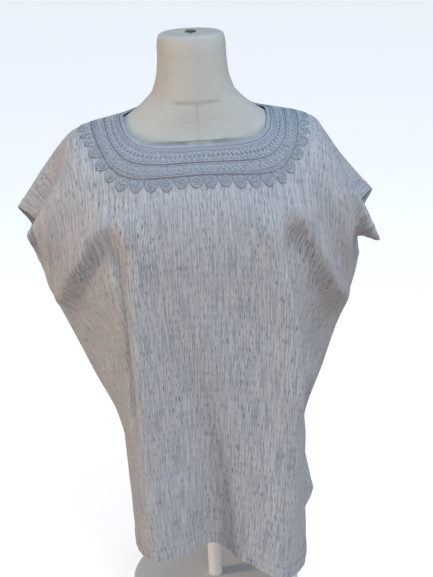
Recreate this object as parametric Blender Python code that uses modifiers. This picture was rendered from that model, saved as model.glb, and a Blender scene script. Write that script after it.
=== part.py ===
"""A huipil blouse, one straight length of striped cotton folded at the shoulders, on a limbless dress form.

Metres, +Z up, front toward -Y, the origin in the middle of the round foot's underside.
The cloth is worked out from its flat cut: u runs across the width, v runs down from the shoulder fold.
"""

import math

import bmesh
import bpy
import numpy as np

# flat cut
HALF_WIDTH = 0.360
LENGTH = 0.770
ARM_OPENING = 0.185
NECK_HALF_WIDTH = 0.119
NECK_FRONT = 0.107
NECK_BACK = 0.042
NECK_POWER = 3.2
WALL = 0.0020
SEAM_GAP = 0.0005

# embroidery round the neck, raised on the outside
YOKE_START = 0.0030
YOKE_BAND = 0.0430
YOKE_EDGE = 0.0640
YOKE_RAISE = 0.0011
SCALLOPS_FRONT = 24
SCALLOPS_BACK = 20
PARTS_PER_SCALLOP = 4

# how the panels are divided
FRAME_HALF = 0.262
FRAME_FRONT = 0.225
FRAME_BACK = 0.165
FRAME_POWER = 1.5
WING_COLUMNS = 6
INNER_RINGS = (0.0, 0.0045, 0.0200, 0.0400, 0.0445, 0.0500)
ROWS_DOWN = (0.0, 0.040, 0.068, 0.091, 0.105, 0.135, 0.185, 0.240, 0.30, 0.37,
             0.44, 0.51, 0.58, 0.65, 0.72, 0.79, 0.86, 0.93, 1.0)

# binding
BINDING_WIDTH = 0.0070
BINDING_OUT = 0.0017
BINDING_IN = 0.0012

# dress form and stand
CAP_HEIGHT = 0.985
TORSO_BOTTOM = 0.235
DISC_RADIUS = 0.0085
POLE_RADIUS = 0.0125
FOOT_RADIUS = 0.150
FOOT_THICKNESS = 0.012

# one row a fold line of the cloth: place across the width, then v, x, y, z below the cap at each station
# stations: shoulder, ridge over the shoulder, cuff if any, break under the bust or wing, waist, hip, hem
FRONT_FOLDS = (
    ("seam_left", -0.360, (0.000, -0.255, 0.010, -0.292), (0.070, -0.272, -0.056, -0.293),
     (0.105, -0.264, -0.042, -0.318), (0.185, -0.261, 0.002, -0.350), (0.410, -0.190, 0.012, -0.553),
     (0.580, -0.142, 0.035, -0.690), (0.770, -0.138, 0.035, -0.840)),
    ("wing_left_3", -0.320, (0.000, -0.242, 0.007, -0.264), (0.070, -0.254, -0.060, -0.262),
     (0.140, -0.247, -0.054, -0.330), (0.265, -0.236, -0.020, -0.404), (0.410, -0.178, -0.012, -0.540),
     (0.580, -0.144, -0.003, -0.684), (0.770, -0.138, -0.006, -0.836)),
    ("wing_left_2", -0.282, (0.000, -0.229, 0.004, -0.232), (0.070, -0.233, -0.063, -0.229),
     (0.250, -0.221, -0.062, -0.372), (0.410, -0.164, -0.038, -0.526), (0.580, -0.140, -0.042, -0.676),
     (0.770, -0.135, -0.047, -0.832)),
    ("wing_left_1", -0.243, (0.000, -0.215, 0.002, -0.194), (0.070, -0.212, -0.063, -0.198),
     (0.232, -0.203, -0.087, -0.342), (0.410, -0.153, -0.065, -0.513), (0.580, -0.143, -0.082, -0.667),
     (0.770, -0.139, -0.087, -0.830)),
    ("tip_left", -0.205, (0.000, -0.200, 0.000, -0.154), (0.070, -0.192, -0.061, -0.169),
     (0.215, -0.180, -0.108, -0.312), (0.410, -0.144, -0.096, -0.500), (0.580, -0.140, -0.116, -0.656),
     (0.770, -0.134, -0.126, -0.829)),
    ("fold_left", -0.135, (0.000, -0.133, 0.000, -0.129), (0.070, -0.131, -0.063, -0.153),
     (0.185, -0.133, -0.128, -0.250), (0.410, -0.131, -0.136, -0.474), (0.580, -0.123, -0.143, -0.642),
     (0.770, -0.110, -0.169, -0.824)),
    ("front_left", -0.070, (0.000, -0.070, 0.000, -0.117), (0.070, -0.070, -0.065, -0.139),
     (0.185, -0.068, -0.131, -0.232), (0.410, -0.066, -0.141, -0.455), (0.580, -0.066, -0.145, -0.624),
     (0.770, -0.066, -0.160, -0.824)),
    ("front_middle", 0.000, (0.000, 0.000, 0.000, -0.113), (0.070, 0.000, -0.066, -0.136),
     (0.185, 0.000, -0.131, -0.226), (0.410, 0.000, -0.139, -0.450), (0.580, -0.005, -0.133, -0.624),
     (0.770, -0.012, -0.124, -0.830)),
    ("front_right", 0.070, (0.000, 0.070, 0.000, -0.117), (0.070, 0.070, -0.065, -0.139),
     (0.185, 0.068, -0.131, -0.235), (0.410, 0.068, -0.139, -0.460), (0.580, 0.062, -0.146, -0.638),
     (0.770, 0.044, -0.160, -0.847)),
    ("fold_right", 0.135, (0.000, 0.133, 0.000, -0.129), (0.070, 0.131, -0.063, -0.155),
     (0.190, 0.127, -0.127, -0.262), (0.410, 0.139, -0.134, -0.486), (0.580, 0.130, -0.148, -0.660),
     (0.770, 0.098, -0.184, -0.872)),
    ("tip_right", 0.205, (0.000, 0.196, 0.000, -0.151), (0.070, 0.191, -0.060, -0.168),
     (0.230, 0.168, -0.106, -0.330), (0.410, 0.153, -0.096, -0.510), (0.580, 0.148, -0.117, -0.674),
     (0.770, 0.132, -0.151, -0.877)),
    ("wing_right_1", 0.243, (0.000, 0.210, 0.002, -0.194), (0.070, 0.214, -0.066, -0.202),
     (0.245, 0.191, -0.084, -0.366), (0.410, 0.164, -0.065, -0.524), (0.580, 0.152, -0.082, -0.685),
     (0.770, 0.150, -0.104, -0.870)),
    ("wing_right_2", 0.282, (0.000, 0.225, 0.003, -0.233), (0.072, 0.238, -0.069, -0.238),
     (0.260, 0.213, -0.058, -0.400), (0.410, 0.178, -0.038, -0.538), (0.580, 0.147, -0.042, -0.692),
     (0.770, 0.151, -0.056, -0.862)),
    ("wing_right_3", 0.320, (0.000, 0.241, 0.002, -0.267), (0.076, 0.258, -0.072, -0.281),
     (0.135, 0.243, -0.062, -0.330), (0.275, 0.240, -0.018, -0.432), (0.410, 0.195, -0.012, -0.552),
     (0.580, 0.151, -0.003, -0.699), (0.770, 0.162, -0.010, -0.856)),
    ("seam_right", 0.360, (0.000, 0.256, -0.004, -0.300), (0.080, 0.277, -0.077, -0.330),
     (0.118, 0.258, -0.050, -0.329), (0.185, 0.263, 0.010, -0.386), (0.410, 0.206, 0.012, -0.566),
     (0.580, 0.170, 0.035, -0.708), (0.770, 0.186, 0.030, -0.833)),
)
BACK_FOLDS = (
    ("seam_left", -0.360, (0.000, -0.255, 0.010, -0.292), (0.070, -0.292, 0.062, -0.278),
     (0.115, -0.272, 0.054, -0.304), (0.150, -0.269, 0.028, -0.328), (0.185, -0.261, 0.002, -0.350),
     (0.410, -0.190, 0.012, -0.553), (0.580, -0.142, 0.035, -0.690), (0.770, -0.138, 0.035, -0.840)),
    ("wing_left", -0.282, (0.000, -0.229, 0.004, -0.232), (0.070, -0.249, 0.062, -0.219),
     (0.240, -0.222, 0.084, -0.372), (0.410, -0.170, 0.070, -0.532), (0.580, -0.139, 0.088, -0.690),
     (0.770, -0.134, 0.084, -0.842)),
    ("tip_left", -0.205, (0.000, -0.200, 0.000, -0.154), (0.070, -0.201, 0.059, -0.164),
     (0.205, -0.180, 0.108, -0.290), (0.410, -0.146, 0.114, -0.496), (0.580, -0.134, 0.128, -0.662),
     (0.770, -0.122, 0.142, -0.844)),
    ("back_left", -0.105, (0.000, -0.104, 0.010, -0.118), (0.070, -0.103, 0.076, -0.142),
     (0.185, -0.100, 0.118, -0.246), (0.410, -0.094, 0.124, -0.470), (0.580, -0.086, 0.134, -0.640),
     (0.770, -0.066, 0.130, -0.830)),
    ("back_middle", 0.000, (0.000, 0.000, 0.046, -0.104), (0.070, 0.000, 0.100, -0.136),
     (0.185, 0.000, 0.125, -0.240), (0.410, 0.000, 0.128, -0.464), (0.580, 0.002, 0.144, -0.634),
     (0.770, 0.006, 0.168, -0.824)),
    ("back_right", 0.105, (0.000, 0.104, 0.010, -0.118), (0.070, 0.103, 0.076, -0.142),
     (0.185, 0.100, 0.118, -0.248), (0.410, 0.096, 0.124, -0.472), (0.580, 0.090, 0.132, -0.644),
     (0.770, 0.078, 0.132, -0.838)),
    ("tip_right", 0.205, (0.000, 0.196, 0.000, -0.151), (0.070, 0.201, 0.059, -0.166),
     (0.205, 0.180, 0.108, -0.298), (0.410, 0.154, 0.113, -0.504), (0.580, 0.146, 0.126, -0.672),
     (0.770, 0.140, 0.148, -0.858)),
    ("wing_right", 0.282, (0.000, 0.225, 0.003, -0.233), (0.070, 0.250, 0.062, -0.228),
     (0.240, 0.224, 0.084, -0.390), (0.410, 0.184, 0.068, -0.548), (0.580, 0.154, 0.086, -0.704),
     (0.770, 0.164, 0.088, -0.854)),
    ("seam_right", 0.360, (0.000, 0.256, -0.004, -0.300), (0.080, 0.298, 0.062, -0.289),
     (0.120, 0.275, 0.052, -0.326), (0.185, 0.263, 0.010, -0.386), (0.410, 0.206, 0.012, -0.566),
     (0.580, 0.170, 0.035, -0.708), (0.770, 0.186, 0.030, -0.833)),
)
# creases on those lines: front or back, from u v, to u v, half width above and below, height outward
CREASES = (
    ("front", -0.142, 0.190, -0.345, 0.277, 0.024, 0.014, 0.0110),
    ("front", -0.148, 0.214, -0.345, 0.335, 0.018, 0.045, -0.0150),
    ("front", -0.129, 0.200, -0.122, 0.480, 0.030, 0.012, 0.0095),
    ("front", -0.166, 0.222, -0.156, 0.450, 0.022, 0.036, -0.0130),
    ("front", 0.120, 0.190, 0.340, 0.308, 0.026, 0.014, 0.0105),
    ("front", 0.128, 0.216, 0.340, 0.362, 0.018, 0.045, -0.0140),
    ("front", 0.120, 0.200, 0.140, 0.480, 0.012, 0.030, 0.0085),
    ("front", 0.158, 0.230, 0.174, 0.460, 0.036, 0.022, -0.0125),
    ("front", 0.262, 0.075, 0.345, 0.150, 0.020, 0.022, -0.0090),
    ("front", 0.225, 0.115, 0.310, 0.240, 0.018, 0.022, 0.0060),
    ("front", -0.225, 0.410, -0.350, 0.455, 0.024, 0.024, 0.0080),
    ("front", 0.235, 0.430, 0.350, 0.470, 0.026, 0.026, 0.0070),
    ("front", -0.020, 0.330, 0.060, 0.760, 0.034, 0.022, 0.0065),
    ("front", -0.050, 0.400, 0.010, 0.760, 0.022, 0.030, -0.0050),
    ("back", -0.160, 0.200, -0.340, 0.270, 0.026, 0.014, 0.0085),
    ("back", -0.160, 0.245, -0.340, 0.325, 0.022, 0.040, -0.0110),
    ("back", 0.160, 0.200, 0.340, 0.280, 0.026, 0.014, 0.0085),
    ("back", 0.160, 0.245, 0.340, 0.335, 0.022, 0.040, -0.0110),
    ("back", -0.235, 0.400, -0.350, 0.450, 0.026, 0.026, 0.0070),
    ("back", 0.235, 0.420, 0.350, 0.470, 0.026, 0.026, 0.0070),
    ("back", 0.030, 0.280, -0.040, 0.760, 0.030, 0.026, 0.0060),
)

# one row a section of the dress form: z below the cap, half width, front, back, squareness
FORM_SECTIONS = (
    (0.0000, 0.0440, 0.0440, 0.0440, 2.0),
    (0.0035, 0.0500, 0.0500, 0.0500, 2.0),
    (0.0110, 0.0520, 0.0520, 0.0520, 2.0),
    (0.0400, 0.0535, 0.0545, 0.0540, 2.0),
    (0.0690, 0.0575, 0.0570, 0.0560, 2.0),
    (0.0880, 0.0650, 0.0590, 0.0590, 2.0),
    (0.1020, 0.0770, 0.0610, 0.0630, 2.0),
    (0.1160, 0.0940, 0.0630, 0.0670, 2.0),
    (0.1290, 0.1143, 0.0650, 0.0700, 2.0),
    (0.1400, 0.1400, 0.0680, 0.0740, 2.0),
    (0.1520, 0.1620, 0.0740, 0.0790, 2.1),
    (0.1660, 0.1740, 0.0800, 0.0830, 2.2),
    (0.1850, 0.1780, 0.0900, 0.0900, 2.2),
    (0.2150, 0.1710, 0.1040, 0.0960, 2.2),
    (0.2500, 0.1590, 0.1150, 0.0990, 2.2),
    (0.3000, 0.1450, 0.1200, 0.0980, 2.2),
    (0.3600, 0.1320, 0.1120, 0.0920, 2.2),
    (0.4300, 0.1190, 0.0960, 0.0850, 2.2),
    (0.4900, 0.1150, 0.0900, 0.0830, 2.2),
    (0.5600, 0.1240, 0.0950, 0.0940, 2.2),
    (0.6300, 0.1310, 0.1000, 0.1060, 2.2),
    (0.7000, 0.1310, 0.1000, 0.1100, 2.2),
    (0.7420, 0.1270, 0.0960, 0.1060, 2.2),
    (0.7500, 0.1200, 0.0890, 0.0990, 2.2),
)


def blend(t):
    t = np.clip(t, 0, 1)
    return t * t * (3 - 2 * t)


def through(points, t, i, lead, tail):
    """A curve through rows of points, its slopes by the distances between them, at the share t of interval i.

    lead and tail are the points beyond its two ends.
    """
    path = np.concatenate([lead[None], points, tail[None]])
    step = np.diff(path, axis=0)
    run = np.maximum(np.linalg.norm(step, axis=-1, keepdims=True), 1e-9)
    way = step / run
    slope = (way[:-1] * run[1:] + way[1:] * run[:-1]) / (run[:-1] + run[1:])
    k = np.arange(len(i))
    h = run[i + 1, k]
    start = points[i, k]
    end = points[i + 1, k]
    t = t[:, None]
    return (
        (1 + 2 * t) * (1 - t) ** 2 * start
        + t * (1 - t) ** 2 * h * slope[i, k]
        + t * t * (3 - 2 * t) * end
        + t * t * (t - 1) * h * slope[i + 1, k]
    )


def interval(places, at):
    at = np.clip(at, places[0], places[-1])
    i = np.clip(np.searchsorted(places, at, side="right") - 1, 0, len(places) - 2)
    return i, (at - places[i]) / (places[i + 1] - places[i])


def ridge_point(folds, u):
    """Where a panel's ridge is at u, so that the other's fold lines run on over the shoulder."""
    across = [row[1] for row in folds]
    return np.array([np.interp(u, across, [row[3][k] for row in folds]) for k in (1, 2, 3)])


def column(row, other, v):
    stations = np.array(row[2:])
    i, t = interval(stations[:, 0], v)
    points = np.repeat(stations[:, None, 1:], len(v), axis=1)
    lead = np.repeat(ridge_point(other, row[1])[None], len(v), axis=0)
    tail = 2 * points[-1] - points[-2]
    return through(points, t, i, lead, tail)


FOLDS = {"front": FRONT_FOLDS, "back": BACK_FOLDS}
OTHER = {"front": "back", "back": "front"}


def loose_middle(name, u, v):
    """Middle of one panel from its own fold lines."""
    folds = FOLDS[name]
    other = FOLDS[OTHER[name]]
    lines = np.array([column(row, other, v) for row in folds])
    sewn = blend((v - ARM_OPENING + 0.02) / 0.05)[:, None]
    lead = (2 * lines[0] - lines[1]) * (1 - sewn) + column(other[1], folds, v) * sewn
    tail = (2 * lines[-1] - lines[-2]) * (1 - sewn) + column(other[-2], folds, v) * sewn
    i, t = interval(np.array([row[1] for row in folds]), u)
    return through(lines, t, i, lead, tail)


def sheet_middle(name, u, v):
    """Middle of the cloth at flat places u, v, before creases; the back meets the front at its edges."""
    u = np.asarray(u, float)
    shape = u.shape
    u = u.ravel()
    v = np.asarray(v, float).ravel()
    p = loose_middle(name, u, v)
    if name == "back":
        share = blend((np.abs(u) - 0.085) / 0.03) * (1 - blend(v / 0.07))
        k = share > 0
        none = np.zeros(k.sum())
        p[k] += (loose_middle("front", u[k], none) - loose_middle("back", u[k], none)) * share[k, None]
        share = (1 - blend((HALF_WIDTH - np.abs(u)) / 0.08)) * (v >= ARM_OPENING)
        k = share > 0
        side = np.sign(u[k]) * HALF_WIDTH
        p[k] += (loose_middle("front", side, v[k]) - loose_middle("back", side, v[k])) * share[k, None]
    p[:, 2] += CAP_HEIGHT
    return p.reshape(shape + (3,))


def normals(name, u, v):
    side = 1.0 if name == "front" else -1.0
    e = 0.0015
    across = sheet_middle(name, u + e, v) - sheet_middle(name, u - e, v)
    down = sheet_middle(name, u, v + e) - sheet_middle(name, u, np.maximum(v - e, 0))
    n = np.cross(down, across) * side
    return n / np.linalg.norm(n, axis=-1, keepdims=True)


def outward(name, u, v):
    """Unit normals out of the garment, shared by both panels along the side seams and the shoulder fold."""
    other = OTHER[name]
    n = normals(name, u, v)
    seam = blend(1 - (HALF_WIDTH - np.abs(u)) / 0.012) * blend((v - ARM_OPENING + 0.01) / 0.02) * 0.5
    k = seam > 0
    n[k] = n[k] * (1 - seam[k, None]) + normals(other, np.sign(u[k]) * HALF_WIDTH, v[k]) * seam[k, None]
    fold = blend(1 - v / 0.012) * 0.5
    k = fold > 0
    n[k] = n[k] * (1 - fold[k, None]) + normals(other, u[k], np.zeros(k.sum())) * fold[k, None]
    length = np.linalg.norm(n, axis=-1, keepdims=True)
    return n / length / np.maximum(length, 0.62)


def crease_height(name, u, v):
    """Soft ridges and troughs, steeper on one side than on the other, that die out at the side seams."""
    total = np.zeros(np.shape(u))
    sewn = blend((v - ARM_OPENING + 0.06) / 0.06)
    edge = 1 - sewn * (1 - blend((HALF_WIDTH - np.abs(u)) / 0.070))
    for panel, u0, v0, u1, v1, above, below, height in CREASES:
        if panel != name:
            continue
        run = math.hypot(u1 - u0, v1 - v0)
        along = ((u - u0) * (u1 - u0) + (v - v0) * (v1 - v0)) / run / run
        off = ((v - v0) * (u1 - u0) - (u - u0) * (v1 - v0)) / run * (1 if u1 >= u0 else -1)
        half = np.where(off < 0, above, below)
        fade = blend(along * 5) * blend((1.25 - along) * 4)
        total += height * fade * edge * np.exp(-((off / half) ** 2))
    return total


def cloth_points(name, u, v, out):
    """Points of the front or back panel, moved out of its middle by `out`."""
    u = np.asarray(u, float)
    v = np.asarray(v, float)
    out = np.asarray(out, float)
    n = outward(name, u, v)
    return sheet_middle(name, u, v) + n * (crease_height(name, u, v) + out)[..., None]


def arch(half, depth, power, s):
    """Flat places on a rounded arch from -half to half at the shoulder fold, `depth` deep, s from 0 to 1."""
    angle = math.pi * (1 - np.asarray(s, float))
    c = np.cos(angle)
    u = half * np.sign(c) * np.abs(c) ** (2 / power)
    v = depth * np.abs(np.sin(angle)) ** (2 / power)
    return u, v


def even(half, depth, power, count):
    """Values of s that space `count` steps evenly along an arch."""
    fine = np.linspace(0, 1, 4001)
    u, v = arch(half, depth, power, fine)
    run = np.concatenate([[0], np.cumsum(np.hypot(np.diff(u), np.diff(v)))])
    return np.interp(np.linspace(0, run[-1], count + 1), run, fine)


def neck_arch(name, grow):
    """Half width, depth and squareness of the curve `grow` outside the neck's cut edge."""
    depth = NECK_FRONT if name == "front" else NECK_BACK
    return NECK_HALF_WIDTH + grow, depth + grow, NECK_POWER


def panel_mesh(name):
    """One panel: rings round the neck out to a wide arch, then rows down to the hem, as a closed wall."""
    scallops = SCALLOPS_FRONT if name == "front" else SCALLOPS_BACK
    fine = scallops * PARTS_PER_SCALLOP
    frame_depth = FRAME_FRONT if name == "front" else FRAME_BACK
    s_fine = even(*neck_arch(name, YOKE_EDGE), fine)
    s_rough = s_fine[::PARTS_PER_SCALLOP]
    half = WALL / 2
    bm = bmesh.new()

    def row(u, v, out):
        v = np.maximum(v, SEAM_GAP / 2)
        return [bm.verts.new(p) for p in cloth_points(name, u, v, np.full(np.shape(u), out))]

    def strip(one, two, flip=False):
        for i in range(len(one) - 1):
            for tri in ((one[i], one[i + 1], two[i + 1]), (one[i], two[i + 1], two[i])):
                bm.faces.new(tri[::-1] if flip else tri)

    def fan(rough, many, flip=False):
        """Joins a row to one with PARTS_PER_SCALLOP times as many steps."""
        for i in range(len(rough) - 1):
            start = i * PARTS_PER_SCALLOP
            middle = start + PARTS_PER_SCALLOP // 2
            tris = [(rough[i], many[k + 1], many[k]) for k in range(start, middle)]
            tris.append((rough[i], rough[i + 1], many[middle]))
            tris += [(rough[i + 1], many[k + 1], many[k]) for k in range(middle, start + PARTS_PER_SCALLOP)]
            for tri in tris:
                bm.faces.new(tri[::-1] if flip else tri)

    # outside: rings of the embroidery, raised, with a scalloped edge
    lobe = np.abs(np.sin(np.linspace(0, scallops * math.pi, fine + 1))) ** 0.6
    reach = YOKE_EDGE - YOKE_BAND - 0.0020
    levels = (
        (0.0, 0.0, 0.0), (YOKE_START, 0.0, 0.0), (YOKE_START + 0.0015, 0.0, 1.0),
        (YOKE_BAND - 0.0030, 0.0, 1.0), (YOKE_BAND - 0.0015, 0.0, 0.35), (YOKE_BAND, 0.0, 1.0),
        (YOKE_BAND + 0.0020, reach, 0.9), (YOKE_BAND + 0.0038, reach, 0.0),
    )
    rings = []
    for grow, scalloped, raised in levels:
        u, v = arch(*neck_arch(name, grow + scalloped * lobe), s_fine)
        rings.append(row(u, v, half + raised * YOKE_RAISE))
    near_u, near_v = arch(*neck_arch(name, YOKE_EDGE + 0.008), s_rough)
    frame = (FRAME_HALF, frame_depth, FRAME_POWER)
    frame_u, frame_v = arch(*frame, even(*frame, scallops))
    between = [(near_u + (frame_u - near_u) * t, near_v + (frame_v - near_v) * t) for t in (0.0, 0.5, 1.0)]

    # the columns that go on down from the arch, with the wings beside it
    wing = np.linspace(HALF_WIDTH - SEAM_GAP / 2, FRAME_HALF, WING_COLUMNS + 1)[:-1]
    columns = np.concatenate([-wing, frame_u, wing[::-1]])
    tops = np.concatenate([np.zeros(len(wing)), frame_v, np.zeros(len(wing))])

    def rows_down(frame_row, out):
        rows = []
        for share in ROWS_DOWN:
            v = tops + (LENGTH - tops) * share
            if share > 0:
                rows.append(row(columns, v, out))
                continue
            ends = row(np.concatenate([-wing, wing[::-1]]), np.zeros(2 * len(wing)), out)
            rows.append(ends[:len(wing)] + frame_row + ends[len(wing):])
        return rows

    rough = [row(u, v, half) for u, v in between]
    outer = rows_down(rough[-1], half)
    inner_rings = [row(*arch(*neck_arch(name, grow), s_rough), -half) for grow in INNER_RINGS]
    inner_rings += [row(u, v, -half) for u, v in between]
    inner = rows_down(inner_rings[-1], -half)

    for one, two in zip(rings, rings[1:]):
        strip(two, one)
    fan(rough[0], rings[-1])
    for one, two in list(zip(rough, rough[1:])) + list(zip(outer, outer[1:])):
        strip(two, one)
    for one, two in list(zip(inner_rings, inner_rings[1:])) + list(zip(inner, inner[1:])):
        strip(two, one, flip=True)
    # rims: neck, hem, and the ends along the shoulder fold, cuff and side
    fan(inner_rings[0], rings[0], flip=True)
    strip(inner[-1], outer[-1])
    for end in (0, -1):
        flip = end == 0
        strip([r[end] for r in outer], [r[end] for r in inner], flip=flip)
        zip_rows(bm, [r[end] for r in rings + rough], [r[end] for r in inner_rings], flip)
    strip(outer[0][: len(wing) + 1], inner[0][: len(wing) + 1])
    strip(outer[0][-len(wing) - 1:], inner[0][-len(wing) - 1:])
    bmesh.ops.recalc_face_normals(bm, faces=bm.faces)
    return bm


def zip_rows(bm, one, two, flip):
    """Triangles between two rows with different counts that run side by side."""
    i = 0
    j = 0
    while i < len(one) - 1 or j < len(two) - 1:
        step_one = j == len(two) - 1 or (
            i < len(one) - 1 and (one[i + 1].co - two[j].co).length < (one[i].co - two[j + 1].co).length
        )
        tri = (one[i], one[i + 1], two[j]) if step_one else (one[i], two[j + 1], two[j])
        bm.faces.new(tri[::-1] if flip else tri)
        i += step_one
        j += not step_one


def binding_mesh():
    """The narrow binding round the whole neck, a rounded strip inside the panels' cut edge."""
    section = ((0.0, 0.1), (-0.11, 1.0), (-0.50, 1.25), (-0.89, 0.85),
               (-1.0, 0.0), (-0.86, -1.0), (-0.14, -1.0))
    bm = bmesh.new()
    rings = []
    for name, count in (("front", 48), ("back", 36)):
        s = even(*neck_arch(name, 0.0), count)[:-1]
        if name == "back":
            s = 1 - s
        lines = []
        for grow, lift in section:
            u, v = arch(*neck_arch(name, grow * BINDING_WIDTH - SEAM_GAP), s)
            out = lift * (BINDING_OUT if lift > 0 else BINDING_IN)
            lines.append(cloth_points(name, u, v, np.full(len(s), out)))
        rings += [[bm.verts.new(line[k]) for line in lines] for k in range(len(s))]
    for i, ring in enumerate(rings):
        after = rings[(i + 1) % len(rings)]
        for k in range(len(ring)):
            m = (k + 1) % len(ring)
            bm.faces.new((ring[k], ring[m], after[m], after[k]))
    bmesh.ops.triangulate(bm, faces=bm.faces)
    bmesh.ops.recalc_face_normals(bm, faces=bm.faces)
    return bm


def form_mesh():
    """The limbless torso and neck, lofted through its sections."""
    around = 44
    bm = bmesh.new()
    rings = []
    for drop, half, front, back, power in FORM_SECTIONS:
        ring = []
        for i in range(around):
            angle = 2 * math.pi * i / around
            c = math.cos(angle)
            s = math.sin(angle)
            x = half * math.copysign(abs(c) ** (2 / power), c)
            y = (back if s > 0 else front) * math.copysign(abs(s) ** (2 / power), s)
            ring.append(bm.verts.new((x, y, CAP_HEIGHT - drop)))
        rings.append(ring)
    for one, two in zip(rings, rings[1:]):
        for i in range(around):
            j = (i + 1) % around
            bm.faces.new((one[i], two[i], two[j], one[j]))
    bm.faces.new(rings[0])
    bm.faces.new(rings[-1][::-1])
    bmesh.ops.recalc_face_normals(bm, faces=bm.faces)
    return bm


def material(name, color, rough):
    mat = bpy.data.materials.new(name)
    mat.use_nodes = True
    shader = mat.node_tree.nodes["Principled BSDF"]
    shader.inputs["Base Color"].default_value = (*color, 1.0)
    shader.inputs["Roughness"].default_value = rough
    return mat


def place(name, bm, mat, parts, smooth=True):
    mesh = bpy.data.meshes.new(name)
    bm.to_mesh(mesh)
    bm.free()
    obj = bpy.data.objects.new(name, mesh)
    parts.objects.link(obj)
    obj.data.materials.append(mat)
    if smooth:
        obj.data.shade_smooth()
    return obj


def turned(name, profile, mat, parts, steps=48):
    """A round piece from its half profile, run top to bottom at +X."""
    mesh = bpy.data.meshes.new(name)
    points = [(r, 0.0, z) for r, z in profile]
    mesh.from_pydata(points, [(i, i + 1) for i in range(len(points) - 1)], [])
    obj = bpy.data.objects.new(name, mesh)
    parts.objects.link(obj)
    screw = obj.modifiers.new("turn", "SCREW")
    screw.angle = 2 * math.pi
    screw.steps = steps
    screw.render_steps = steps
    screw.use_merge_vertices = True
    screw.merge_threshold = 0.0001
    obj.data.materials.append(mat)
    return obj


def build():
    for obj in list(bpy.data.objects):
        bpy.data.objects.remove(obj)
    parts = bpy.data.collections.new("huipil_on_dress_form")
    bpy.context.scene.collection.children.link(parts)
    cloth = material("striped cotton", (0.66, 0.66, 0.68), 0.9)
    edge = material("plain cotton binding", (0.62, 0.66, 0.70), 0.85)
    cover = material("form cover", (0.78, 0.75, 0.68), 0.85)
    brown = material("brown cap disc", (0.16, 0.11, 0.07), 0.5)
    white = material("white painted metal", (0.85, 0.85, 0.84), 0.35)
    place("front_panel", panel_mesh("front"), cloth, parts)
    place("back_panel", panel_mesh("back"), cloth, parts)
    place("neck_binding", binding_mesh(), edge, parts)
    place("form_body", form_mesh(), cover, parts)
    top = CAP_HEIGHT
    disc = ((0.0, 0.0022), (DISC_RADIUS - 0.0015, 0.0022), (DISC_RADIUS, 0.0012), (DISC_RADIUS, 0.0003),
            (0.0, 0.0003))
    turned("neck_disc", [(r, top + z) for r, z in disc], brown, parts, 24)
    bottom = TORSO_BOTTOM
    pole = ((0.0, bottom - 0.0003), (POLE_RADIUS, bottom - 0.0003), (POLE_RADIUS, FOOT_THICKNESS + 0.0003),
            (0.0, FOOT_THICKNESS + 0.0003))
    turned("stand_pole", pole, white, parts, 32)
    foot = ((0.0, FOOT_THICKNESS), (FOOT_RADIUS - 0.004, FOOT_THICKNESS),
            (FOOT_RADIUS - 0.001, FOOT_THICKNESS - 0.001), (FOOT_RADIUS, FOOT_THICKNESS - 0.004),
            (FOOT_RADIUS, 0.0), (0.0, 0.0))
    turned("stand_foot", foot, white, parts, 64)


build()
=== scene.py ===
"""Looks of the huipil blouse on its dress form: cloth, embroidery, binding, form cover, light and camera.

Metres, +Z up, front toward -Y. The cloth is worked out from its flat cut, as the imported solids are:
u runs across the width, v runs down from the shoulder fold.
"""

import math

import bpy
import numpy as np
from mathutils import Matrix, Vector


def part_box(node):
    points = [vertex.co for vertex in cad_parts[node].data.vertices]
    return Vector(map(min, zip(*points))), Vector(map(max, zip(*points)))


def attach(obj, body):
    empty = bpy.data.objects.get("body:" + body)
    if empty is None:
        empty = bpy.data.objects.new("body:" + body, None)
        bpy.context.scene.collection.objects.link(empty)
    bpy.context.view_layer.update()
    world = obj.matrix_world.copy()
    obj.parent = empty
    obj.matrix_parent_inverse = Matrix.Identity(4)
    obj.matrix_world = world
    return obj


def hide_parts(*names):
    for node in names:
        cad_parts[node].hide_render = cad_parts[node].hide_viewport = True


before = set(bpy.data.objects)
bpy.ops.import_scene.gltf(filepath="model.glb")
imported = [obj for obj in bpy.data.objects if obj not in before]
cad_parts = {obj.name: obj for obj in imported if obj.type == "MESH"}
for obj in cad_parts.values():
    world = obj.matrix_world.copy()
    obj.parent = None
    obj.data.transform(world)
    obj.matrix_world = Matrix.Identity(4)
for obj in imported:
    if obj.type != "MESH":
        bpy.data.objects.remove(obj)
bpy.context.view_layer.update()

# flat cut
HALF_WIDTH = 0.360
LENGTH = 0.770
ARM_OPENING = 0.185
NECK_HALF_WIDTH = 0.119
NECK_FRONT = 0.107
NECK_BACK = 0.042
NECK_POWER = 3.2
CLOTH = 0.0014
SEAM_GAP = 0.0005
HEM_DEPTH = 0.020
HEM_STEP = 0.0006
HEM_TURN = 0.003
HEM_PUCKER = 0.0005
CUFF_PUCKER_LENGTH = 0.017
FOOT_PUCKER_LENGTH = 0.021
HEM_STITCH_PITCH = 0.0058
HEM_STITCH = 0.0036

# how the panels are divided
FINE = 1.0
AROUND = int(200 * FINE)
RINGS_NEAR = int(26 * FINE)
RINGS_FAR = int(14 * FINE)
WING = int(36 * FINE)
ROWS = int(128 * FINE)
FRAME_HALF = 0.262
FRAME_FRONT = 0.225
FRAME_BACK = 0.165
FRAME_POWER = 1.5

# embroidery round the neck, metres out from its cut edge
YOKE_BAND = 0.0430
YOKE_EDGE = 0.0640
YOKE_RAISE = 0.0008
SCALLOPS_FRONT = 24
SCALLOPS_BACK = 20
SCALLOP_REACH = YOKE_EDGE - YOKE_BAND - 0.003
YOKE_LINE_PLACE = 0.030

# binding
BINDING_WIDTH = 0.0070
BINDING_OUT = 0.0017
BINDING_IN = 0.0012
BINDING_SIDES = 14
BINDING_STEPS = (("front", 260), ("back", 200))
BINDING_ROUND = 0.8
BINDING_RIPPLE = 0.10
BINDING_RIPPLES = 210

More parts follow.
